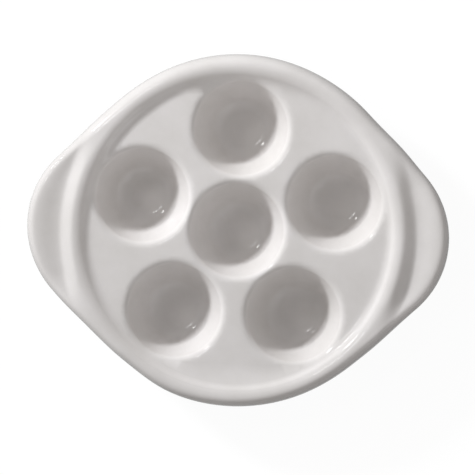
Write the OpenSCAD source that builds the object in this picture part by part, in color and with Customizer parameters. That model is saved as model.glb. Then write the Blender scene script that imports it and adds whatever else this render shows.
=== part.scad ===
// Round glazed dish with six deep wells, a raised rounded rim and two lug handles.
// The clay is divided at the borders of its forms: deck, rim, handles and cups meet face to face.
// Millimetres, +Z up, +X towards the right handle, origin under the middle cup on the table.

/* [Cups] */
// Width of a cup's mouth, where its rolled lip leaves the deck
mouth_d = 41.2; // [36:0.2:44]
// Depth of a cup, from the deck to its floor
well_depth = 17; // [14:0.5:24]
// Radius of the rolled lip
lip_r = 1.8; // [1.5:0.1:7.5]
// Lean of the cup's wall from upright, in degrees
well_draft = 24; // [4:1:30]
// Radius between the cup's wall and its floor
floor_fillet_r = 5.5; // [3:0.5:6]
// Rise of the floor towards its middle
floor_crown = 0.5; // [0.1:0.1:1]
// Thickness of the cup's wall
cup_wall = 2.6; // [2.4:0.1:6]
// Thickness under the cup's floor
floor_t = 4; // [3:0.5:6]
// Radius round the foot, outside
foot_round_r = 6; // [3:0.5:8]
// Radius between the cup and the underside of the deck
cove_r = 0.8; // [0.6:0.1:3]

/* [Deck] */
// Thickness of the deck
deck_t = 4.5; // [3.5:0.1:6]
// Flat land between a lip and the edge of its seat
lip_land = 0.3; // [0.2:0.1:1.5]
// Width of deck left between the seats of neighbouring cups
seat_web = 0.8; // [0.6:0.1:6]
// Width of deck left between an outer seat and the rim
edge_web = 0.6; // [0.4:0.1:1.2]
// How far the outer seats run into the turned-up foot of the rim
seat_into_rim = 1.2; // [0.3:0.1:1.5]

/* [Rim] */
// Height of the crest above the deck
rim_rise = 3.2; // [3:0.2:8]
// Slope of the rim's inner side, in degrees
rim_slope = 48; // [45:1:65]
// Radius at the foot of the inner side
rim_foot_r = 4.4; // [2.2:0.1:4.6]
// Radius of the crest towards the inner side
crest_r = 4.4; // [2.5:0.1:4.6]
// Radius of the outer side, from the crest to the outer edge
rim_outer_r = 4.6; // [3.5:0.1:6]
// Radius under the outer edge
rim_under_r = 2.2; // [1.5:0.1:3.5]
// Upright stretch between those two
rim_upright = 0.3; // [0.2:0.1:1.5]

/* [Handles] */
// Reach of a handle past the round body
handle_reach = 15.2; // [10:0.1:22]
// Radius of a handle's end, seen from above
handle_end_r = 38.5; // [28:0.5:44]
// Thickness of a handle
handle_t = 4.8; // [3.6:0.1:6]
// Height of a handle's underside above the rim's lower edge
handle_up = 0.5; // [0.3:0.1:1.2]
// Depth of the hollow in a handle's top
handle_dish = 1.4; // [0.6:0.1:2]
// How far inside the round body the handle's flanks aim
flank_in = 1; // [0.6:0.1:2]

/* [Hidden] */
outer_count = 5;
first_angle = 90;
arc_step = 6;
curve_steps = 10;
overrun = 1;
round_sides = 96;
hull_sides = 64;
nose_sides = 24;
glaze = "#f1efec";

// Levels
floor_z = floor_t;
deck_z = floor_z + well_depth;
under_z = deck_z - deck_t;
crest_z = deck_z + rim_rise;

// Cup, measured from its own axis
mouth_r = mouth_d / 2;
wall_angle = 90 - well_draft;
wall_top_s = mouth_r - lip_r * sin(wall_angle);
wall_top_z = deck_z - lip_r * (1 - cos(wall_angle));
wall_foot_z = floor_z + floor_fillet_r * (1 - cos(wall_angle));
wall_foot_s = wall_top_s - (wall_top_z - wall_foot_z) * tan(well_draft);
floor_s = wall_foot_s - floor_fillet_r * sin(wall_angle);
outer_s = wall_top_s + (under_z - wall_top_z) * tan(well_draft) + cup_wall / cos(well_draft);
cove_s = outer_s + cove_r * (1 - sin(well_draft)) / cos(well_draft);
seat_r = max(mouth_r + lip_land, cove_s);
foot_s = outer_s - under_z * tan(well_draft) - foot_round_r * tan(wall_angle / 2);

// Places round the dish
pitch_r = 2 * seat_r + seat_web;
seam_r = pitch_r + seat_r + edge_web;
rim_foot_s = pitch_r + seat_r - seat_into_rim;
slope_rise = rim_rise - (crest_r + rim_foot_r) * (1 - cos(rim_slope));
crest_s = rim_foot_s + (crest_r + rim_foot_r) * sin(rim_slope) + slope_rise / tan(rim_slope);
body_r = crest_s + rim_outer_r;
upright_top_z = crest_z - rim_outer_r;
upright_foot_z = upright_top_z - rim_upright;
edge_z = upright_foot_z - rim_under_r;

// Handle
lug_r = handle_t / 2;
lug_z = edge_z + handle_up + lug_r;
lug_top_z = lug_z + lug_r;
lug_end_x = body_r + handle_reach - handle_end_r;
flank_r = body_r - flank_in;
flank_angle = acos((flank_r - handle_end_r) / lug_end_x);
flank_pad_r = handle_t;
dish_low_r = body_r + lug_r;
dish_high_r = body_r + handle_reach - lug_r;

function arc(x, z, r, from, to) =
    let (steps = ceil(abs(to - from) / arc_step))
    [for (i = [0 : steps]) let (a = from + (to - from) * i / steps) [x + r * cos(a), z + r * sin(a)]];

// Floor of a cup from its axis outwards, a soft crown
function crown_curve() =
    [for (i = [0 : curve_steps])
        [floor_s * i / curve_steps, floor_z + floor_crown * (1 + cos(180 * i / curve_steps)) / 2]];

// Outside of the rim, from the underside round the edge to the crest
function rim_outer_curve() = concat(
    arc(body_r - rim_under_r, upright_foot_z, rim_under_r, -90, 0),
    arc(crest_s, upright_top_z, rim_outer_r, 0, 90)
);

// Inside of the rim, from the crest down to the deck
function rim_inner_curve() = concat(
    arc(crest_s, crest_z - crest_r, crest_r, 90, 90 + rim_slope),
    arc(rim_foot_s, deck_z + rim_foot_r, rim_foot_r, rim_slope - 90, -90)
);

// Half section of the deck and rim together
module dish_section() {
    polygon(concat(
        [[0, under_z], [seam_r, under_z]], rim_outer_curve(), rim_inner_curve(), [[0, deck_z]]
    ));
}

// Solid round body that the handles are fitted to
module round_body() {
    rotate_extrude($fn = round_sides)
        polygon(concat([[0, under_z], [seam_r, under_z]], rim_outer_curve(), [[0, crest_z]]));
}

// Turned cup: crowned floor, leaning wall and rolled lip inside, cove, wall and flat foot outside
module cup() {
    rotate_extrude($fn = round_sides)
        polygon(concat(
            crown_curve(),
            arc(floor_s, floor_z + floor_fillet_r, floor_fillet_r, -90, -well_draft),
            arc(mouth_r, deck_z - lip_r, lip_r, 180 - well_draft, 90),
            [[seat_r, deck_z], [seat_r, under_z]],
            arc(cove_s, under_z - cove_r, cove_r, 90, 180 - well_draft),
            arc(foot_s, foot_round_r, foot_round_r, -well_draft, -90),
            [[0, 0]]
        ));
}

// Puts its children on the axis of an outer cup, counted round from the top
module at_outer(i) {
    rotate(first_angle + i * 360 / outer_count) translate([pitch_r, 0]) children();
}

// Round slab with a full-round edge
module lug_slab(r) {
    rotate_extrude($fn = hull_sides) {
        translate([r - lug_r, 0]) intersection() {
            circle(lug_r, $fn = nose_sides);
            translate([0, -lug_r]) square([lug_r, handle_t]);
        }
        translate([0, -lug_r]) square([r - lug_r, handle_t]);
    }
}

// Shallow hollow round the body that dishes a handle's top and lets it rise towards its tip
module handle_hollow() {
    run = dish_high_r - dish_low_r;
    inner_r = crest_s;
    span = dish_high_r - inner_r;
    curve = [for (i = [0 : curve_steps])
        let (r = inner_r + span * i / curve_steps)
        [r, lug_top_z - handle_dish * (1 - pow((r - dish_low_r) / run, 2))]];
    rotate_extrude($fn = round_sides)
        polygon(concat(curve, [[dish_high_r, crest_z], [inner_r, crest_z]]));
}

// Lug towards +X: a round end drawn back to the body along two straight flanks
module handle() {
    difference() {
        translate([0, 0, lug_z]) hull() {
            translate([lug_end_x, 0]) lug_slab(handle_end_r);
            for (side = [-1, 1])
                rotate(side * flank_angle) translate([flank_r - flank_pad_r, 0]) lug_slab(flank_pad_r);
        }
        round_body();
        handle_hollow();
    }
}

module deck_plate() {
    color(glaze) difference() {
        rotate_extrude($fn = round_sides) intersection() {
            dish_section();
            square([seam_r, crest_z]);
        }
        translate([0, 0, under_z - overrun]) {
            cylinder(r = seat_r, h = deck_t + rim_rise, $fn = round_sides);
            for (i = [0 : outer_count - 1])
                at_outer(i) cylinder(r = seat_r, h = deck_t + rim_rise, $fn = round_sides);
        }
    }
}

module rim_ring() {
    color(glaze) rotate_extrude($fn = round_sides) intersection() {
        dish_section();
        translate([seam_r, 0]) square([body_r, crest_z]);
    }
}

module handle_right() {
    color(glaze) handle();
}

module handle_left() {
    color(glaze) mirror([1, 0, 0]) handle();
}

module well_centre() {
    color(glaze) cup();
}

module outer_well(i) {
    color(glaze) at_outer(i) cup();
}

deck_plate();
rim_ring();
handle_left();
handle_right();
well_centre();
outer_well(0);  // well_top
outer_well(1);  // well_left
outer_well(2);  // well_lower_left
outer_well(3);  // well_lower_right
outer_well(4);  // well_right
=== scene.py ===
"""Looks of a white porcelain dish with six wells, a rolled rim and two lug handles.

Every piece is cut from one continuous skin: the lips of the wells, the deck, the rim and the lugs
flow into each other as they do on a slip-cast dish, and no seam shows where two pieces meet.
Sizes are in millimetres and angles in degrees. Meshes are in metres, in the axes of the frame.
"""

import logging
import math
from dataclasses import dataclass, field, replace
from enum import Enum

import bpy
import numpy as np
from mathutils import Matrix, Vector
from mathutils.geometry import delaunay_2d_cdt


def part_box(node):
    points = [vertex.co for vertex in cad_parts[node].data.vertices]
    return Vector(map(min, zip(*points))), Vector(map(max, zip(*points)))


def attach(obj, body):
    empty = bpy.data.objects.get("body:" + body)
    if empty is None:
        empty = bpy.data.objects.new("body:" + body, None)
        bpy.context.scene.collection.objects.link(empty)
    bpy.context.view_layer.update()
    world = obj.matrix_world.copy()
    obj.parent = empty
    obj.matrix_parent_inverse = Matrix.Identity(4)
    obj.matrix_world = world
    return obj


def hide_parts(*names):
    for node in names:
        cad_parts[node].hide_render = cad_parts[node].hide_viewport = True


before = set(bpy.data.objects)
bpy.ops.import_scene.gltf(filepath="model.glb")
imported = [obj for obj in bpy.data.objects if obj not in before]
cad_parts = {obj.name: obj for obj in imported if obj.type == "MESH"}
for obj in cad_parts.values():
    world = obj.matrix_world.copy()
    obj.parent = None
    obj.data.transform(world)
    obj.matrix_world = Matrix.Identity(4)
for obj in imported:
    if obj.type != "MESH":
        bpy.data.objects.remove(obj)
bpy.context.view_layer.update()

MM = 0.001
BODY = "root"

log = logging.getLogger("dish")


class Well(Enum):
    """The six wells, by the names of their nodes."""

    CENTRE = "well_centre"
    TOP = "well_top"
    LEFT = "well_left"
    LOWER_LEFT = "well_lower_left"
    LOWER_RIGHT = "well_lower_right"
    RIGHT = "well_right"

    def centre(self) -> np.ndarray:
        """Gives the well's axis in plan, from the box of its node."""
        low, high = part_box(self.value)
        return np.array((low + high).xy) / 2 / MM


class Side(Enum):
    """The two lug handles, by the names of their nodes and their headings, neither of them quite true."""

    RIGHT = ("handle_right", -1.6)
    LEFT = ("handle_left", 179.8)

    @property
    def node(self) -> str:
        """Gives the name of the lug's node."""
        return self.value[0]

    @property
    def heading(self) -> float:
        """Gives the direction that the lug points in, in degrees from +X."""
        return self.value[1]


class Shading(Enum):
    """How the corners of a face are lit: along the smooth skin, or flat on a hidden contact face."""

    SKIN = 0
    FLAT = 1


def eased(x: np.ndarray, width: float) -> np.ndarray:
    """Bends a ramp softly out of a flat run.

    Args:
        x: Distance past the corner between the flat run and the ramp.
        width: Reach of the rounding to either side of the corner.

    Returns:
        Zero well before the corner, x well past it, and a smooth curve between them.
    """
    return width * np.logaddexp(0.0, np.asarray(x, float) / width)


def smooth(x: np.ndarray) -> np.ndarray:
    """Gives the soft step from 0 to 1 as x goes from 0 to 1."""
    t = np.clip(x, 0.0, 1.0)
    return t * t * (3 - 2 * t)


def arc(x: float, z: float, r: float, start: float, end: float, count: int = 60) -> np.ndarray:
    """Draws an arc as points.

    Args:
        x: Centre along the radius.
        z: Centre in height.
        r: Radius of the arc.
        start: Angle that it starts at, in degrees.
        end: Angle that it ends at, in degrees.
        count: Number of steps.

    Returns:
        Points (radius, height), one row each.
    """
    a = np.radians(np.linspace(start, end, count + 1))
    return np.column_stack((x + r * np.cos(a), z + r * np.sin(a)))


def spread(line: np.ndarray, count: int) -> np.ndarray:
    """Spreads points evenly along a line.

    Args:
        line: Close points (radius, height) along the line.
        count: Number of steps wanted.

    Returns:
        count + 1 points, the ends of the line among them.
    """
    run = np.concatenate(([0.0], np.cumsum(np.hypot(*np.diff(line, axis=0).T))))
    at = np.linspace(0.0, run[-1], count + 1)
    return np.column_stack([np.interp(at, run, column) for column in line.T])


def unit(v: np.ndarray) -> np.ndarray:
    """Scales vectors to length 1."""
    return v / np.linalg.norm(v, axis=-1, keepdims=True)


@dataclass(frozen=True)
class Stretch:
    """Part of a profile that climbs: an arc between two slopes, or a straight run."""

    run: float
    start: float
    end: float

    @classmethod
    def bend(cls, radius: float, start: float, end: float) -> "Stretch":
        """Gives an arc of a radius between two slopes, in degrees."""
        return cls(radius * abs(math.sin(math.radians(end)) - math.sin(math.radians(start))), start, end)

    def rise(self, x: np.ndarray) -> np.ndarray:
        """Gives how far the stretch has climbed.

        Args:
            x: Distance from its start, also before it and past its end.

        Returns:
            Height above its start, held level outside it.
        """
        u = np.clip(x, 0.0, self.run)
        first, last = math.radians(self.start), math.radians(self.end)
        if self.start == self.end:
            return u * math.tan(first)
        radius = self.run / (math.sin(last) - math.sin(first))
        return radius * (math.cos(first) - np.sqrt(1 - (math.sin(first) + u / radius) ** 2))


def climb(stretches: list[Stretch], x: np.ndarray) -> np.ndarray:
    """Adds up the rises of stretches that follow each other.

    Args:
        stretches: The stretches in order.
        x: Distance from the start of the first.

    Returns:
        Height above that start.
    """
    total, start = np.zeros_like(np.asarray(x, float)), 0.0
    for stretch in stretches:
        total = total + stretch.rise(x - start)
        start += stretch.run
    return total


@dataclass(frozen=True)
class Skin:
    """The dish's continuous surface, which all pieces are cut from.

    The first seven sizes come from the frame, and the deck lies glaze_fill above the frame's deck. The
    others shape the soft glazed form between them.
    """

    seat_r: float
    seam_r: float
    body_r: float
    reach: float
    deck_z: float
    under_z: float
    crest_z: float
    wells: tuple[tuple[float, float], ...]
    glaze_fill: float = 0.45
    ease: float = 0.75
    lip_edge: float = 22.0
    lip_roll: float = 3.0
    draft: float = 27.0
    floor_z: float = 4.0
    floor_crown: float = 0.25
    floor_fillet: float = 8.5
    cup_wall: float = 2.6
    cove: float = 0.8
    foot_round: float = 6.0
    rim_slope: float = 37.0
    rim_foot: float = 5.8
    crest_roll: float = 6.4
    crest_offset: tuple[float, float] = (0.25, -0.75)
    outer_roll: float = 4.4
    under_roll: float = 2.2
    roll_power: float = 2.0
    nose_z: float = 19.5
    edge_z: float = 17.1
    lug_end_r: float = 38.5
    lug_roll: float = 3.4
    lug_lift: float = 0.5
    lug_valley_z: float = 21.7
    lug_valley_run: float = 6.2
    lug_rise: float = 1.3
    lug_rise_run: float = 9.6
    lug_start: float = 11.0
    uneven: tuple[tuple[float, float, float], ...] = (
        (28.0, 8.0, 0.65), (62.0, 20.0, -0.45), (143.0, 11.0, 0.6), (204.0, 8.0, 0.6),
        (234.0, 11.0, -1.15), (322.0, 10.0, 0.65),
    )

    @classmethod
    def from_frame(cls) -> "Skin":
        """Reads the sizes that the frame holds."""
        well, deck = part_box(Well.CENTRE.value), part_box("deck_plate")
        rim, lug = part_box("rim_ring"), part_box(Side.RIGHT.node)
        return cls(
            seat_r=well[1].x / MM,
            seam_r=deck[1].x / MM,
            body_r=min(rim[1].x, rim[1].y) / MM,
            reach=lug[1].x / MM,
            deck_z=well[1].z / MM + cls.glaze_fill,
            under_z=deck[0].z / MM,
            crest_z=rim[1].z / MM,
            wells=tuple(tuple(w.centre()) for w in Well),
        )

    @property
    def crest_r(self) -> float:
        """Gives the distance of the rim's crest from the dish's axis."""
        return self.body_r - self.outer_roll

    def offset(self, angle: np.ndarray) -> np.ndarray:
        """Gives how far out the crest lies in a direction, as its ring is set a little off centre."""
        return self.crest_offset[0] * np.cos(angle) + self.crest_offset[1] * np.sin(angle)

    def lip(self) -> Stretch:
        """Gives the lip's profile from the deck inwards: a roll that ends along the cup's wall."""
        return Stretch.bend(self.lip_roll, 0.0, 90.0 - self.draft)

    def rim_side(self) -> list[Stretch]:
        """Gives the profile of the rim's inner side: a foot, a straight slope and half of the crest."""
        foot = Stretch.bend(self.rim_foot, 0.0, self.rim_slope)
        roll = Stretch.bend(self.crest_roll, self.rim_slope, 0.0)
        left = self.crest_z - self.deck_z - foot.rise(foot.run) - roll.rise(roll.run)
        run = float(left / math.tan(math.radians(self.rim_slope)))
        return [foot, Stretch(run, self.rim_slope, self.rim_slope), roll]

    def well_drop(self, s: np.ndarray) -> np.ndarray:
        """Gives how far a lip has sunk below the deck at a distance s from its well's axis."""
        return self.lip().rise(eased(self.lip_edge - np.asarray(s, float), self.ease))

    def rim_lift(self, r: np.ndarray) -> np.ndarray:
        """Gives the height of the rim's inner side above the deck at a distance r from the axis."""
        side = self.rim_side()
        foot_r = self.crest_r - sum(stretch.run for stretch in side)
        return climb(side, eased(np.asarray(r, float) - foot_r, self.ease))

    def lift(self, x: np.ndarray, y: np.ndarray, skip: int | None = None) -> np.ndarray:
        """Gives the height of the top above the flat deck inside the rim's crest.

        Args:
            x: Place along X.
            y: Place along Y.
            skip: Number of a well whose own lip is left out.

        Returns:
            Rise of the rim less the drops of the lips.
        """
        drops = [
            self.well_drop(np.hypot(x - wx, y - wy))
            for i, (wx, wy) in enumerate(self.wells)
            if i != skip
        ]
        r = np.hypot(x, y) - self.offset(np.arctan2(y, x))
        return self.rim_lift(r) - sum(drops)

    def lift_slope(
        self, x: np.ndarray, y: np.ndarray, skip: int | None = None, step: float = 0.01
    ) -> tuple[np.ndarray, np.ndarray]:
        """Gives the slope of lift along X and Y.

        Args:
            x: Place along X.
            y: Place along Y.
            skip: Number of a well whose own lip is left out.
            step: Half of the distance that the slope is measured over.

        Returns:
            Slope along X and slope along Y.
        """
        along_x = self.lift(x + step, y, skip) - self.lift(x - step, y, skip)
        along_y = self.lift(x, y + step, skip) - self.lift(x, y - step, skip)
        return along_x / (2 * step), along_y / (2 * step)

    def cup_inside(self) -> np.ndarray:
        """Draws the half section of a cup's inside, from its axis up to its seat.

        Returns:
            Close points (distance from the cup's axis, height).
        """
        steep = math.radians(90 - self.draft)
        lip_run = self.lip().run
        lip_start_s = self.lip_edge - self.ease * math.log(math.expm1(lip_run / self.ease))
        lip_start_z = self.deck_z - float(self.well_drop(lip_start_s))
        wall_foot_z = self.floor_z + self.floor_fillet * (1 - math.cos(steep))
        wall_foot_s = lip_start_s - (lip_start_z - wall_foot_z) / math.tan(steep)
        floor_s = wall_foot_s - self.floor_fillet * math.sin(steep)
        t = np.linspace(0.0, 1.0, 60)
        crown = self.floor_z + self.floor_crown * (1 + np.cos(math.pi * t)) / 2
        floor = np.column_stack((floor_s * t, crown))
        fillet = arc(floor_s, self.floor_z + self.floor_fillet, self.floor_fillet, -90, -self.draft)
        s = np.linspace(lip_start_s, self.seat_r, 240)
        lip = np.column_stack((s, self.deck_z - self.well_drop(s)))
        return np.concatenate((floor, fillet[1:], lip))

    def cup_outside(self) -> np.ndarray:
        """Draws the half section of a cup's outside, from its seat down to the edge of its flat foot.

        Returns:
            Close points (distance from the cup's axis, height).
        """
        lean = math.radians(self.draft)
        inside = self.cup_inside()
        cove_run = self.cove * (1 - math.sin(lean)) / math.cos(lean)
        thick_s = np.interp(self.under_z, inside[:, 1], inside[:, 0]) + self.cup_wall
        outer_s = min(thick_s, self.seat_r - cove_run)
        cove_s = outer_s + cove_run
        foot_s = outer_s - self.under_z * math.tan(lean)
        foot_s -= self.foot_round * math.tan(math.radians(90 - self.draft) / 2)
        cove = arc(cove_s, self.under_z - self.cove, self.cove, 90, 180 - self.draft)
        foot = arc(foot_s, self.foot_round, self.foot_round, -self.draft, -90)
        return np.concatenate(([[self.seat_r, self.under_z]], cove, foot))

    def outline(self, angle: np.ndarray) -> np.ndarray:
        """Gives the dish's outline seen from above: a circle with two round-ended lugs.

        Args:
            angle: Directions from the dish's axis, in radians.

        Returns:
            Distance of the outline from the axis in each direction.
        """
        off = self.reach - self.lug_end_r
        tangent = math.acos((self.body_r - self.lug_end_r) / off)
        tip = math.atan2(self.lug_end_r * math.sin(tangent), off + self.lug_end_r * math.cos(tangent))
        rho = np.full_like(np.asarray(angle, float), self.body_r)
        for side in Side:
            turned = angle - math.radians(side.heading)
            a = np.abs((turned + math.pi) % (2 * math.pi) - math.pi)
            end = off * np.cos(a) + np.sqrt(np.maximum(self.lug_end_r**2 - (off * np.sin(a)) ** 2, 0.0))
            flank = self.body_r / np.cos(np.minimum(np.abs(tangent - a), 1.0))
            rho = np.maximum(rho, np.where(a < tip, end, np.where(a < tangent, flank, 0.0)))
        return rho

    def strayed(self, angle: np.ndarray) -> np.ndarray:
        """Gives how far the hand-finished edge strays outwards from the drawn outline.

        Args:
            angle: Directions from the dish's axis, in radians.

        Returns:
            Distance in each direction, from soft bulges and dents by bearing, spread and depth.
        """
        total = np.zeros_like(np.asarray(angle, float))
        for bearing, spread_by, depth in self.uneven:
            off = (np.degrees(angle) - bearing + 180) % 360 - 180
            total = total + depth * np.exp(-((off / spread_by) ** 2))
        return total

    def lug_top(self, r: np.ndarray, rho: float) -> np.ndarray:
        """Gives the height of a lug's dished top, from the crest down to a valley and up to a crown.

        Args:
            r: Distances from the dish's axis.
            rho: Distance of the outline from the axis in the same direction.

        Returns:
            Heights, without the roll of the lug's edge.
        """
        valley_r = self.crest_r + self.lug_valley_run
        span = max(rho - self.lug_roll - valley_r, 0.0)
        fall = (self.crest_z - self.lug_valley_z) * (1 - smooth((r - self.crest_r) / self.lug_valley_run))
        rise = self.lug_rise * min(span / self.lug_rise_run, 1.0)
        return self.lug_valley_z + fall + rise * smooth((r - valley_r) / max(span, self.ease))

    def rolled(self, x: np.ndarray, roll: float) -> np.ndarray:
        """Gives the share of a height that is left x past the start of a roll."""
        past = np.clip(x / roll, 0.0, 1.0) ** self.roll_power
        return (1 - past) ** (1 / self.roll_power)

    def outer_section(self, rho: float) -> tuple[np.ndarray, np.ndarray]:
        """Draws the section outside the crest in a direction where the outline lies at rho.

        Args:
            rho: Distance of the outline from the dish's axis.

        Returns:
            Close points (radius, height) of the upper side from the crest to the nose, and of the
            underside from the nose back to the seam.
        """
        share = float(smooth((rho - self.body_r) / self.lug_start))
        roll = self.outer_roll + (self.lug_roll - self.outer_roll) * share
        turn = np.radians(np.linspace(0.0, 90.0, 90))
        top_r = np.linspace(self.crest_r, rho - roll, 60)[:-1]
        r = np.concatenate((top_r, rho - roll * (1 - np.sin(turn))))
        height = self.crest_z + (self.lug_top(r, rho) - self.crest_z) * share - self.nose_z
        upper = np.column_stack((r, self.nose_z + height * self.rolled(r - rho + roll, roll)))
        under_r = np.linspace(rho - self.under_roll, self.seam_r, 90)[1:]
        r = np.concatenate((rho - self.under_roll * (1 - np.cos(turn)), under_r))
        flat_r = self.body_r - self.under_roll
        out = smooth((r - self.seam_r) / (flat_r - self.seam_r))
        base = self.under_z + (self.edge_z - self.under_z) * out
        base = base + self.lug_lift * smooth((r - flat_r) / self.lug_valley_run)
        depth = (self.nose_z - base) * self.rolled(r - rho + self.under_roll, self.under_roll)
        return upper, np.column_stack((r, self.nose_z - depth))


@dataclass
class Draft:
    """A mesh in the making: points, their skin normals, and faces with their shading."""

    points: list[np.ndarray] = field(default_factory=list)
    normals: list[np.ndarray] = field(default_factory=list)
    faces: list[tuple[int, ...]] = field(default_factory=list)
    shadings: list[Shading] = field(default_factory=list)
    finishes: list[int] = field(default_factory=list)
    size: int = 0

    def add_points(self, points: np.ndarray, normals: np.ndarray) -> np.ndarray:
        """Adds points.

        Args:
            points: Places in millimetres, with x, y and z in the last axis.
            normals: Directions of the skin there.

        Returns:
            Numbers of the new points, in the shape that they came in.
        """
        shape = points.shape[:-1]
        self.points.append(points.reshape(-1, 3))
        self.normals.append(unit(normals.reshape(-1, 3)))
        first = self.size
        self.size += len(self.points[-1])
        return np.arange(first, self.size).reshape(shape)

    def add_face(self, corners: tuple[int, ...], shading: Shading = Shading.SKIN, finish: int = 0) -> None:
        """Adds a face by the numbers of its corners, counter-clockwise from outside."""
        self.faces.append(tuple(int(c) for c in corners))
        self.shadings.append(shading)
        self.finishes.append(finish)

    def add_strip(
        self,
        near: np.ndarray,
        far: np.ndarray,
        closed: bool,
        shading: Shading = Shading.SKIN,
        finish: int = 0,
    ) -> None:
        """Adds a row of four-sided faces between two rows of points.

        Args:
            near: Numbers of the points of the first row.
            far: Numbers of the points of the second row, on the left of the first.
            closed: Whether the rows run all the way round.
            shading: How the faces are lit.
            finish: Number of the finish that they take.
        """
        count = len(near)
        for i in range(count if closed else count - 1):
            k = (i + 1) % count
            self.add_face((near[i], near[k], far[k], far[i]), shading, finish)

    def add_fan(self, pole: int, ring: np.ndarray, finish: int = 0) -> None:
        """Adds three-sided faces from a pole to a ring that runs counter-clockwise round it."""
        for i in range(len(ring)):
            self.add_face((pole, ring[i], ring[(i + 1) % len(ring)]), Shading.SKIN, finish)

    def to_object(self, name: str) -> bpy.types.Object:
        """Makes the mesh, with its normals, and puts its object into the scene.

        Args:
            name: Name of the object and its mesh.

        Returns:
            The new object, at the origin.
        """
        points, normals = np.concatenate(self.points), np.concatenate(self.normals)
        mesh = bpy.data.meshes.new(name)
        mesh.from_pydata((points * MM).tolist(), [], self.faces)
        mesh.polygons.foreach_set("use_smooth", [True] * len(self.faces))
        mesh.polygons.foreach_set("material_index", self.finishes)
        corners: list[tuple[float, float, float]] = []
        for face, shading in zip(mesh.polygons, self.shadings):
            if shading is Shading.FLAT:
                corners.extend([tuple(face.normal)] * face.loop_total)
            else:
                corners.extend(tuple(normals[v]) for v in face.vertices)
        mesh.normals_split_custom_set(corners)
        piece = bpy.data.objects.new(name, mesh)
        bpy.context.scene.collection.objects.link(piece)
        return piece


@dataclass
class Piece:
    """A piece of the dish that stands for one node of the frame."""

    skin: Skin
    name: str
    node: str

    def draft(self) -> Draft:
        """Works out the piece's mesh."""
        raise NotImplementedError

    def make(self, finishes: list[bpy.types.Material]) -> None:
        """Builds the piece, dresses it and ties it to the frame.

        Args:
            finishes: Materials that the faces pick from by number.
        """
        piece = self.draft().to_object(self.name)
        for finish in finishes:
            piece.data.materials.append(finish)
        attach(piece, BODY)
        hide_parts(self.node)
        log.info("%s: %d faces, stands for %s", self.name, len(piece.data.polygons), self.node)


@dataclass
class Cup(Piece):
    """One turned cup: crowned floor, leaning wall, rolled lip, coved outside and a dry flat foot."""

    well: Well = Well.CENTRE
    sides: int = 96
    inside_steps: int = 64
    outside_steps: int = 40

    def turned(self, section: np.ndarray) -> tuple[np.ndarray, np.ndarray]:
        """Turns a section round the cup's axis.

        Args:
            section: Points (distance from the axis, height), with the skin facing left of their run.

        Returns:
            Points and normals, one row for each point of the section.
        """
        a = 2 * math.pi * np.arange(self.sides) / self.sides
        run = np.gradient(section, axis=0)
        s, z = section[:, :1], section[:, 1:]
        cx, cy = self.well.centre()
        x, y = cx + s * np.cos(a), cy + s * np.sin(a)
        points = np.stack((x, y, np.broadcast_to(z, x.shape)), axis=-1)
        out, up = -run[:, 1:], run[:, :1]
        normals = np.stack((out * np.cos(a), out * np.sin(a), np.broadcast_to(up, x.shape)), axis=-1)
        return points, normals

    def draft(self) -> Draft:
        """Works out the cup's closed mesh, with the rim's foot and other lips added to its own lip."""
        made = Draft()
        skip = list(Well).index(self.well)
        inside, facing = self.turned(spread(self.skin.cup_inside(), self.inside_steps))
        x, y = inside[..., 0], inside[..., 1]
        inside[..., 2] += self.skin.lift(x, y, skip)
        slope_x, slope_y = self.skin.lift_slope(x, y, skip)
        facing[..., 0] -= slope_x * facing[..., 2]
        facing[..., 1] -= slope_y * facing[..., 2]
        pole = made.add_points(inside[0, :1], np.array([[0.0, 0.0, 1.0]]))[0]
        rows = made.add_points(inside[1:], facing[1:])
        made.add_fan(pole, rows[0])
        for near, far in zip(rows[1:], rows[:-1]):
            made.add_strip(near, far, closed=True)
        outside, facing = self.turned(spread(self.skin.cup_outside(), self.outside_steps))
        facing[0] = facing[-1] = (0.0, 0.0, -1.0)
        under = made.add_points(outside, facing)
        made.add_strip(under[0], rows[-1], closed=True, shading=Shading.FLAT)
        for near, far in zip(under[1:], under[:-1]):
            made.add_strip(near, far, closed=True)
        foot = np.array([[*self.well.centre(), 0.0]])
        pole = made.add_points(foot, np.array([[0.0, 0.0, -1.0]]))[0]
        made.add_fan(pole, under[-1][::-1], finish=1)
        return made


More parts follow.
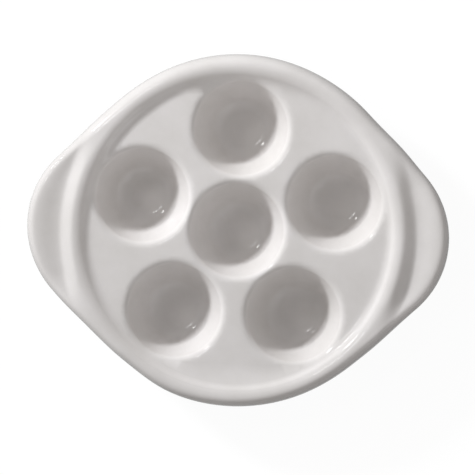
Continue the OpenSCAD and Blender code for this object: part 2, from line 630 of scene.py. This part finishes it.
@dataclass
class Deck(Piece):
    """The deck: a plate with six seats, whose top sinks into the lips and turns up into the rim."""

    cup_sides: int = 96
    rim_sides: int = 288
    grid: float = 1.5
    clear: float = 0.8

    def ring(self, centre: tuple[float, float], r: float, count: int) -> np.ndarray:
        """Gives points evenly round a circle, counter-clockwise."""
        a = 2 * math.pi * np.arange(count) / count
        return np.column_stack((centre[0] + r * np.cos(a), centre[1] + r * np.sin(a)))

    def free(self, p: np.ndarray, clear: float) -> np.ndarray:
        """Tells which plan points lie on the deck, at least clear away from its borders."""
        inside = np.hypot(*p.T) < self.skin.seam_r - clear
        for wx, wy in self.skin.wells:
            inside &= np.hypot(p[:, 0] - wx, p[:, 1] - wy) > self.skin.seat_r + clear
        return inside

    def plan(self) -> tuple[np.ndarray, list[tuple[int, ...]], list[np.ndarray]]:
        """Divides the deck's plan into triangles.

        Returns:
            Plan points, triangles counter-clockwise from above, and the borders as rows of points.
        """
        rings = [self.ring(w, self.skin.seat_r, self.cup_sides) for w in self.skin.wells]
        rings.append(self.ring((0.0, 0.0), self.skin.seam_r, self.rim_sides))
        borders, edges, first = [], [], 0
        for ring in rings:
            row = np.arange(first, first + len(ring))
            borders.append(row)
            edges.extend(zip(row.tolist(), np.roll(row, -1).tolist()))
            first += len(ring)
        half = int(self.skin.seam_r / self.grid) + 1
        u, v = np.meshgrid(np.arange(-half, half + 1), np.arange(-half, half + 1))
        dots = np.column_stack((
            self.grid * (u.ravel() + (v.ravel() % 2) / 2),
            self.grid * v.ravel() * math.sqrt(3) / 2,
        ))
        dots = dots[self.free(dots, self.clear)]
        spots = np.concatenate((*rings, dots))
        made = delaunay_2d_cdt([Vector(p) for p in spots], edges, [], 0, 1e-9)
        faces = [tuple(f) for f in made[2]]
        middles = np.array([spots[list(f)].mean(axis=0) for f in faces])
        return spots, [f for f, keep in zip(faces, self.free(middles, 0.0)) if keep], borders

    def draft(self) -> Draft:
        """Works out the deck's closed mesh: the soft top, the flat underside and the contact walls."""
        made = Draft()
        spots, faces, borders = self.plan()
        x, y = spots.T
        slope_x, slope_y = self.skin.lift_slope(x, y)
        top = np.column_stack((x, y, self.skin.deck_z + self.skin.lift(x, y)))
        upper = made.add_points(top, np.column_stack((-slope_x, -slope_y, np.ones_like(x))))
        flat = np.column_stack((x, y, np.full_like(x, self.skin.under_z)))
        lower = made.add_points(flat, np.tile((0.0, 0.0, -1.0), (len(x), 1)))
        for face in faces:
            made.add_face(tuple(upper[list(face)]))
            made.add_face(tuple(lower[list(face[::-1])]))
        for border in borders[:-1]:
            made.add_strip(upper[border], lower[border], closed=True, shading=Shading.FLAT)
        made.add_strip(lower[borders[-1]], upper[borders[-1]], closed=True, shading=Shading.FLAT)
        return made


@dataclass
class RimLoft:
    """Sections of the rim and lugs all the way round, as a grid of points that both are cut from."""

    skin: Skin
    sides: int = 288
    lug_steps: int = 37
    split_in: float = 1.0
    inner_steps: int = 22
    crest_steps: int = 8
    nose_steps: int = 44
    under_steps: int = 14
    ghost: float = 0.5

    def __post_init__(self) -> None:
        """Works out the grid once for the rim and both lugs."""
        self.points, self.normals = self.grid()

    @property
    def upper_split(self) -> int:
        """Gives the row where a lug's upper side leaves the rim."""
        return self.inner_steps + self.crest_steps

    @property
    def lower_split(self) -> int:
        """Gives the row where a lug's underside leaves the rim."""
        return self.upper_split + self.nose_steps

    def lug_columns(self, side: Side) -> np.ndarray:
        """Gives the columns of the grid that a lug covers, both of its ends among them."""
        middle = round(side.heading / 360 * self.sides)
        return np.arange(middle - self.lug_steps, middle + self.lug_steps + 1) % self.sides

    def section(self, angle: float, rho: float) -> np.ndarray:
        """Draws one section from the seam over the crest and round the nose to the seam below.

        Args:
            angle: Direction of the section from the dish's axis, in radians.
            rho: Distance of the outline from the dish's axis.

        Returns:
            Points (radius, height), with one point more than the grid has before and after.
        """
        skin = replace(self.skin, outer_roll=self.skin.outer_roll - float(self.skin.offset(angle)))
        split_r = skin.body_r - self.split_in
        r = np.linspace(skin.seam_r, skin.crest_r, 200)
        inner = np.column_stack((r, skin.deck_z + skin.rim_lift(r)))
        upper, under = skin.outer_section(rho)
        cut = [split_r, np.interp(split_r, upper[:, 0], upper[:, 1])]
        low_cut = [split_r, np.interp(split_r, under[::-1, 0], under[::-1, 1])]
        crest = np.vstack((upper[upper[:, 0] < split_r], cut))
        nose = np.vstack((cut, upper[upper[:, 0] > split_r], under[under[:, 0] > split_r][1:], low_cut))
        back = np.vstack((low_cut, under[under[:, 0] < split_r]))
        before = skin.seam_r - self.ghost
        return np.vstack((
            [before, skin.deck_z + skin.rim_lift(before)],
            spread(inner, self.inner_steps),
            spread(crest, self.crest_steps)[1:],
            spread(nose, self.nose_steps)[1:],
            spread(back, self.under_steps)[1:],
            [before, skin.under_z],
        ))

    def grid(self) -> tuple[np.ndarray, np.ndarray]:
        """Works out the grid.

        Returns:
            Points and normals, with the sections as columns.
        """
        a = 2 * math.pi * np.arange(self.sides) / self.sides
        sections = np.stack([self.section(*at) for at in zip(a, self.skin.outline(a))], axis=1)
        r, z = sections[..., 0], sections[..., 1]
        r = r + self.skin.strayed(a) * smooth((r - self.skin.seam_r) / (self.skin.body_r - self.skin.seam_r))
        x, y = r * np.cos(a), r * np.sin(a)
        top = np.arange(len(r))[:, None] <= self.upper_split + 1
        drop = sum(self.skin.well_drop(np.hypot(x - wx, y - wy)) for wx, wy in self.skin.wells)
        z = z - np.where(top, drop, 0.0)
        points = np.stack((x, y, z), axis=-1)
        along = np.gradient(points, axis=0)
        around = np.roll(points, -1, axis=1) - np.roll(points, 1, axis=1)
        return points[1:-1], np.cross(along, around)[1:-1]


@dataclass
class Rim(Piece):
    """The rolled rim, open along the two stretches where the lugs grow out of it."""

    loft: RimLoft | None = None

    def draft(self) -> Draft:
        """Works out the rim's closed mesh."""
        made, loft = Draft(), self.loft
        rows = made.add_points(loft.points, loft.normals)
        upper, lower = loft.upper_split, loft.lower_split
        lugs = [loft.lug_columns(side) for side in Side]
        covered = {int(c) for columns in lugs for c in columns[:-1]}
        for j in range(len(rows) - 1):
            for i in range(loft.sides):
                if upper <= j < lower and i in covered:
                    continue
                k = (i + 1) % loft.sides
                made.add_face((rows[j, i], rows[j + 1, i], rows[j + 1, k], rows[j, k]))
        made.add_strip(rows[0], rows[-1], closed=True, shading=Shading.FLAT)
        for columns in lugs:
            made.add_strip(rows[lower, columns], rows[upper, columns], closed=False, shading=Shading.FLAT)
            first, last = columns[0], columns[-1]
            made.add_face(tuple(rows[upper : lower + 1, first]), Shading.FLAT)
            made.add_face(tuple(rows[upper : lower + 1, last][::-1]), Shading.FLAT)
        return made


@dataclass
class Lug(Piece):
    """A flat lug handle with a full-round edge, dished so that its top rises towards its tip."""

    loft: RimLoft | None = None
    side: Side = Side.RIGHT

    def draft(self) -> Draft:
        """Works out the lug's closed mesh."""
        made, loft = Draft(), self.loft
        columns = loft.lug_columns(self.side)
        span = slice(loft.upper_split, loft.lower_split + 1)
        rows = made.add_points(loft.points[span][:, columns], loft.normals[span][:, columns])
        for near, far in zip(rows[1:], rows[:-1]):
            made.add_strip(near, far, closed=False)
        made.add_strip(rows[0], rows[-1], closed=False, shading=Shading.FLAT)
        made.add_face(tuple(rows[::-1, 0]), Shading.FLAT)
        made.add_face(tuple(rows[:, -1]), Shading.FLAT)
        return made


def linear(colour: str) -> tuple[float, float, float, float]:
    """Turns an sRGB hex colour into linear red, green, blue and alpha."""
    parts = [int(colour[i : i + 2], 16) / 255 for i in (1, 3, 5)]
    return (*(c / 12.92 if c <= 0.04045 else ((c + 0.055) / 1.055) ** 2.4 for c in parts), 1.0)


def per_metre(size: float) -> float:
    """Gives the scale of a pattern whose features are size millimetres apart."""
    return 1 / (size * MM)


def add_node(
    tree: bpy.types.NodeTree,
    kind: str,
    settings: dict[str, object] | None = None,
    inputs: dict[str | int, object] | None = None,
) -> bpy.types.Node:
    """Adds a node with its settings, its input values and its links.

    Args:
        tree: Node tree that it goes into.
        kind: Type name of the node.
        settings: Properties of the node by name.
        inputs: Values of its inputs by name or number, where an output socket is linked instead.

    Returns:
        The new node.
    """
    node = tree.nodes.new(kind)
    for name, value in (settings or {}).items():
        setattr(node, name, value)
    for name, value in (inputs or {}).items():
        if isinstance(value, bpy.types.NodeSocket):
            tree.links.new(value, node.inputs[name])
        else:
            node.inputs[name].default_value = value
    return node


def new_material(name: str) -> bpy.types.Material:
    """Makes a material with an empty node tree."""
    material = bpy.data.materials.new(name)
    material.use_nodes = True
    material.node_tree.nodes.clear()
    return material


def set_stops(ramp: bpy.types.Node, places: tuple[float, float], colours: tuple[str, str]) -> None:
    """Sets the two stops of a colour ramp, by place and sRGB hex colour."""
    for stop, place, colour in zip(ramp.color_ramp.elements, places, colours):
        stop.position = place
        stop.color = linear(colour)


@dataclass(frozen=True)
class GlossGlaze:
    """Hard white porcelain, slip cast, dipped in clear glaze and fired glossy.

    The clear coat mirrors the studio softly and runs a touch creamier and greyer where it lies thick.
    """

    name: str = "white_porcelain_clear_gloss_glaze"
    thin: str = "#E6E2E0"
    thick: str = "#DDD9D6"
    # Darker grey painted on the steep outer rolled edge as shade
    painted_edge_shade: str = "#B0ADAA"
    # Colour scale that paints a light falloff, darker towards -Y and lighter towards +Y, over the span below
    painted_falloff: tuple[float, float] = (0.94, 1.06)
    painted_falloff_span: float = 65.0
    # Distance from the axis past which the painted edge shade starts
    edge_shade_from: float = 67.0
    ior: float = 1.5
    roughness: tuple[float, float] = (0.05, 0.11)
    pool_size: float = 28.0
    polish_size: float = 9.0
    wave_size: float = 14.0
    peel_size: float = 2.2
    bump_depth: float = 0.02
    bump_strength: float = 0.6
    peel_share: float = 0.06
    tone_stops: tuple[float, float] = (0.35, 0.65)
    polish_stops: tuple[float, float] = (0.3, 0.7)
    # Stops of the painted edge shade, by how upright the surface is
    edge_shade_stops: tuple[float, float] = (0.95, 0.2)

    def build(self) -> bpy.types.Material:
        """Makes the material.

        Returns:
            The glaze, with its tone, polish and faint waviness worked out from places on the dish, painted
            shade on the steep outer edge, and a painted light falloff that darkens it towards -Y.
        """
        material = new_material(self.name)
        tree = material.node_tree
        place = add_node(tree, "ShaderNodeTexCoord").outputs["Object"]
        # Slow drift of tone where the glaze lies thicker or thinner
        pool = add_node(tree, "ShaderNodeTexNoise", inputs={
            "Vector": place, "Scale": per_metre(self.pool_size), "Detail": 6.0, "Roughness": 0.6,
        })
        tone = add_node(tree, "ShaderNodeValToRGB", inputs={"Fac": pool.outputs["Fac"]})
        set_stops(tone, self.tone_stops, (self.thin, self.thick))
        # Painted shade: steep faces of the outer rolled edge, far from the axis, are mixed towards a darker
        # grey that stands in for shade at the edge
        facing = add_node(tree, "ShaderNodeNewGeometry").outputs["Normal"]
        upright = add_node(tree, "ShaderNodeSeparateXYZ", inputs={0: facing}).outputs["Z"]
        steep = add_node(tree, "ShaderNodeMath", {"operation": "ABSOLUTE"}, {0: upright})
        steep = add_node(tree, "ShaderNodeMapRange", inputs={
            "Value": steep.outputs[0], "From Min": self.edge_shade_stops[0], "From Max": self.edge_shade_stops[1],
        })
        plan = add_node(tree, "ShaderNodeVectorMath", {"operation": "MULTIPLY"}, {
            0: place, 1: (1.0, 1.0, 0.0),
        })
        away = add_node(tree, "ShaderNodeVectorMath", {"operation": "LENGTH"}, {
            0: plan.outputs["Vector"],
        })
        outer = add_node(tree, "ShaderNodeMath", {"operation": "GREATER_THAN"}, {
            0: away.outputs["Value"], 1: self.edge_shade_from * MM,
        })
        edge_shade_mask = add_node(tree, "ShaderNodeMath", {"operation": "MULTIPLY"}, {
            0: steep.outputs["Result"], 1: outer.outputs[0],
        })
        colour = add_node(tree, "ShaderNodeMix", {"data_type": "RGBA"}, {
            0: edge_shade_mask.outputs[0], 6: tone.outputs["Color"], 7: linear(self.painted_edge_shade),
        })
        # Painted light falloff: the colour is scaled darker towards -Y and lighter towards +Y, standing in
        # for light that falls off across the dish rather than a change in the glaze
        along = add_node(tree, "ShaderNodeSeparateXYZ", inputs={0: place}).outputs["Y"]
        painted_falloff = add_node(tree, "ShaderNodeMapRange", inputs={
            "Value": along, "From Min": -self.painted_falloff_span * MM, "From Max": self.painted_falloff_span * MM,
            "To Min": self.painted_falloff[0], "To Max": self.painted_falloff[1],
        })
        colour = add_node(tree, "ShaderNodeVectorMath", {"operation": "SCALE"}, {
            0: colour.outputs[2], "Scale": painted_falloff.outputs["Result"],
        })
        # Patches that came out of the fire a little less polished
        patch = add_node(tree, "ShaderNodeTexNoise", inputs={
            "Vector": place, "Scale": per_metre(self.polish_size), "Detail": 3.0,
        })
        polish = add_node(tree, "ShaderNodeMapRange", inputs={
            "Value": patch.outputs["Fac"],
            "From Min": self.polish_stops[0], "From Max": self.polish_stops[1],
            "To Min": self.roughness[0], "To Max": self.roughness[1],
        })
        # Long soft waves of the cast body, with the fine ripple that glaze keeps as it cools
        wave = add_node(tree, "ShaderNodeTexNoise", inputs={
            "Vector": place, "Scale": per_metre(self.wave_size), "Detail": 0.0,
        })
        peel = add_node(tree, "ShaderNodeTexNoise", inputs={
            "Vector": place, "Scale": per_metre(self.peel_size), "Detail": 1.0,
        })
        ripple = add_node(tree, "ShaderNodeMath", {"operation": "MULTIPLY_ADD"}, {
            0: peel.outputs["Fac"], 1: self.peel_share, 2: wave.outputs["Fac"],
        })
        bump = add_node(tree, "ShaderNodeBump", inputs={
            "Height": ripple.outputs[0],
            "Strength": self.bump_strength, "Distance": self.bump_depth * MM,
        })
        shader = add_node(tree, "ShaderNodeBsdfPrincipled", inputs={
            "Base Color": colour.outputs["Vector"], "Roughness": polish.outputs["Result"],
            "IOR": self.ior, "Normal": bump.outputs["Normal"],
        })
        add_node(tree, "ShaderNodeOutputMaterial", inputs={"Surface": shader.outputs["BSDF"]})
        return material


@dataclass(frozen=True)
class DryFoot:
    """Bare fired porcelain, wiped free of glaze so that it does not stick in the kiln.

    It looks matt and chalky, a little warmer than the glaze, with fine grit and grey table rub.
    """

    name: str = "bare_bisque_porcelain"
    clay: str = "#E6DFD4"
    rubbed: str = "#C9C3BA"
    ior: float = 1.5
    roughness: float = 0.72
    rub_size: float = 6.0
    grit_size: float = 0.5
    grit_depth: float = 0.03
    grit_strength: float = 0.5
    rub_stops: tuple[float, float] = (0.5, 0.8)

    def build(self) -> bpy.types.Material:
        """Makes the material.

        Returns:
            The bare clay, with rub marks and grit.
        """
        material = new_material(self.name)
        tree = material.node_tree
        place = add_node(tree, "ShaderNodeTexCoord").outputs["Object"]
        rub = add_node(tree, "ShaderNodeTexNoise", inputs={
            "Vector": place, "Scale": per_metre(self.rub_size), "Detail": 5.0,
        })
        tone = add_node(tree, "ShaderNodeValToRGB", inputs={"Fac": rub.outputs["Fac"]})
        set_stops(tone, self.rub_stops, (self.clay, self.rubbed))
        grit = add_node(tree, "ShaderNodeTexNoise", inputs={
            "Vector": place, "Scale": per_metre(self.grit_size), "Detail": 2.0,
        })
        bump = add_node(tree, "ShaderNodeBump", inputs={
            "Height": grit.outputs["Fac"],
            "Strength": self.grit_strength, "Distance": self.grit_depth * MM,
        })
        shader = add_node(tree, "ShaderNodeBsdfPrincipled", inputs={
            "Base Color": tone.outputs["Color"], "Roughness": self.roughness,
            "IOR": self.ior, "Normal": bump.outputs["Normal"],
        })
        add_node(tree, "ShaderNodeOutputMaterial", inputs={"Surface": shader.outputs["BSDF"]})
        return material


@dataclass(frozen=True)
class Lamp:
    """A soft box: an area light aimed at the dish, square unless it is given a depth.

    One that is not mirrored lights the dish but leaves no image of itself in the glaze.
    """

    name: str
    bearing: float
    height: float
    distance: float
    width: float
    watts: float
    depth: float | None = None
    colour: str = "#FFFFFF"
    mirrored: bool = True

    def build(self, aim: Vector) -> None:
        """Hangs the lamp.

        Args:
            aim: Point that it shines at, in metres.
        """
        light = bpy.data.lights.new(self.name, "AREA")
        light.shape = "RECTANGLE"
        light.size = self.width * MM
        light.size_y = (self.depth or self.width) * MM
        light.energy = self.watts
        light.color = linear(self.colour)[:3]
        lamp = bpy.data.objects.new(self.name, light)
        lamp.visible_glossy = self.mirrored
        a, e = math.radians(self.bearing), math.radians(self.height)
        away = Vector((math.cos(a) * math.cos(e), math.sin(a) * math.cos(e), math.sin(e)))
        lamp.location = aim + away * self.distance * MM
        lamp.rotation_euler = away.to_track_quat("Z", "Y").to_euler()
        bpy.context.scene.collection.objects.link(lamp)


@dataclass(frozen=True)
class Studio:
    """Plain pale floor, soft light from the upper left and a camera almost straight above."""

    floor_size: float = 4000.0
    floor_gap: float = 0.05
    floor_colour: str = "#6E6E6E"
    shadow_share: float = 0.08
    glow: float = 0.945
    air: float = 0.835
    air_lean: tuple[float, float, float] = (-0.02, 0.06, -0.67)
    air_colour: str = "#FFFDFC"
    lamps: tuple[Lamp, ...] = (
        Lamp("key_lamp", 143.0, 23.5, 3000.0, 400.0, 86.0, colour="#F9FCFF", mirrored=False),
        Lamp("fill_softbox", 315.0, 36.0, 1500.0, 480.0, 0.6),
        Lamp("upper_strip", 143.0, 62.5, 1000.0, 200.0, 0.34, 60.0),
        Lamp("lower_strip", 143.0, 35.5, 1000.0, 100.0, 0.5, 100.0),
    )
    frame_width: float = 198.6
    sensor: float = 36.0
    lens: float = 500.0
    lean: float = 6.7
    roll: float = 2.3
    aim_below: float = 3.05

    def floor(self) -> None:
        """Lays the floor, which looks white to the eye and keeps the dish's shadow."""
        half, z = self.floor_size / 2 * MM, -self.floor_gap * MM
        corners = [(-half, -half, z), (half, -half, z), (half, half, z), (-half, half, z)]
        mesh = bpy.data.meshes.new("studio_floor")
        mesh.from_pydata(corners, [], [(0, 1, 2, 3)])
        floor = bpy.data.objects.new("studio_floor", mesh)
        bpy.context.scene.collection.objects.link(floor)
        material = new_material("matt_white_paper")
        tree = material.node_tree
        # White to the eye and in reflections, greyer in the light that it throws back at the dish
        path = add_node(tree, "ShaderNodeLightPath")
        seen = add_node(tree, "ShaderNodeMath", {"operation": "MAXIMUM"}, {
            0: path.outputs["Is Camera Ray"], 1: path.outputs["Is Glossy Ray"],
        })
        seen = add_node(tree, "ShaderNodeMath", {"operation": "MAXIMUM"}, {
            0: seen.outputs[0], 1: path.outputs["Is Transmission Ray"],
        })
        paper = add_node(tree, "ShaderNodeBsdfDiffuse", inputs={"Color": linear(self.floor_colour)})
        shade = add_node(tree, "ShaderNodeBsdfDiffuse", inputs={"Color": (*[self.shadow_share] * 3, 1.0)})
        glow = add_node(tree, "ShaderNodeEmission", inputs={"Strength": self.glow})
        white = add_node(tree, "ShaderNodeAddShader", inputs={0: shade.outputs[0], 1: glow.outputs[0]})
        mixed = add_node(tree, "ShaderNodeMixShader", inputs={
            0: seen.outputs[0], 1: paper.outputs[0], 2: white.outputs[0],
        })
        add_node(tree, "ShaderNodeOutputMaterial", inputs={"Surface": mixed.outputs[0]})
        mesh.materials.append(material)

    def world(self) -> None:
        """Fills the room with soft light, palest low down and dimmest overhead."""
        world = bpy.data.worlds.new("studio_air")
        world.use_nodes = True
        tree = world.node_tree
        tree.nodes.clear()
        place = add_node(tree, "ShaderNodeTexCoord").outputs["Generated"]
        lean = add_node(tree, "ShaderNodeVectorMath", {"operation": "DOT_PRODUCT"}, {
            0: place, 1: self.air_lean,
        })
        strength = add_node(tree, "ShaderNodeMath", {"operation": "ADD"}, {
            0: lean.outputs["Value"], 1: self.air,
        })
        back = add_node(tree, "ShaderNodeBackground", inputs={
            "Color": linear(self.air_colour), "Strength": strength.outputs[0],
        })
        add_node(tree, "ShaderNodeOutputWorld", inputs={"Surface": back.outputs[0]})
        bpy.context.scene.world = world

    def camera(self, middle: Vector) -> None:
        """Sets up the camera.

        Args:
            middle: Middle of the dish at the height of its edge, in metres.
        """
        lean, roll = math.radians(self.lean), math.radians(self.roll)
        back = Vector((math.sin(lean), 0.0, math.cos(lean)))
        side, up = Vector((math.cos(lean), 0.0, -math.sin(lean))), Vector((0.0, 1.0, 0.0))
        side, up = side * math.cos(roll) + up * math.sin(roll), up * math.cos(roll) - side * math.sin(roll)
        data = bpy.data.cameras.new("overhead_camera")
        data.sensor_width = self.sensor
        data.lens = self.lens
        camera = bpy.data.objects.new("overhead_camera", data)
        away = self.lens / self.sensor * self.frame_width
        place = middle - up * self.aim_below * MM + back * away * MM
        camera.matrix_world = Matrix((side, up, back)).transposed().to_4x4()
        camera.location = place
        bpy.context.scene.collection.objects.link(camera)
        bpy.context.scene.camera = camera

    def build(self, middle: Vector) -> None:
        """Builds the floor, the air, the lamps and the camera.

        Args:
            middle: Middle of the dish at the height of its edge, in metres.
        """
        self.floor()
        self.world()
        for lamp in self.lamps:
            lamp.build(middle)
        self.camera(middle)
        log.info("studio: floor, air, %d lamps and a camera", len(self.lamps))


def main() -> None:
    """Builds the dish piece by piece, then the studio round it."""
    logging.basicConfig(level=logging.INFO, format="%(name)s: %(message)s")
    bpy.context.scene.view_settings.view_transform = "Standard"
    finishes = [GlossGlaze().build(), DryFoot().build()]
    skin = Skin.from_frame()
    loft = RimLoft(skin)
    pieces: list[Piece] = [
        Deck(skin, "glazed_deck", "deck_plate"),
        Rim(skin, "glazed_rim", "rim_ring", loft),
    ]
    for side in Side:
        pieces.append(Lug(skin, f"glazed_lug_{side.name.lower()}", side.node, loft, side))
    for well in Well:
        pieces.append(Cup(skin, f"glazed_cup_{well.name.lower()}", well.value, well))
    for piece in pieces:
        piece.make(finishes)
    Studio().build(Vector((0.0, 0.0, skin.nose_z * MM)))


if __name__ == "__main__":
    main()
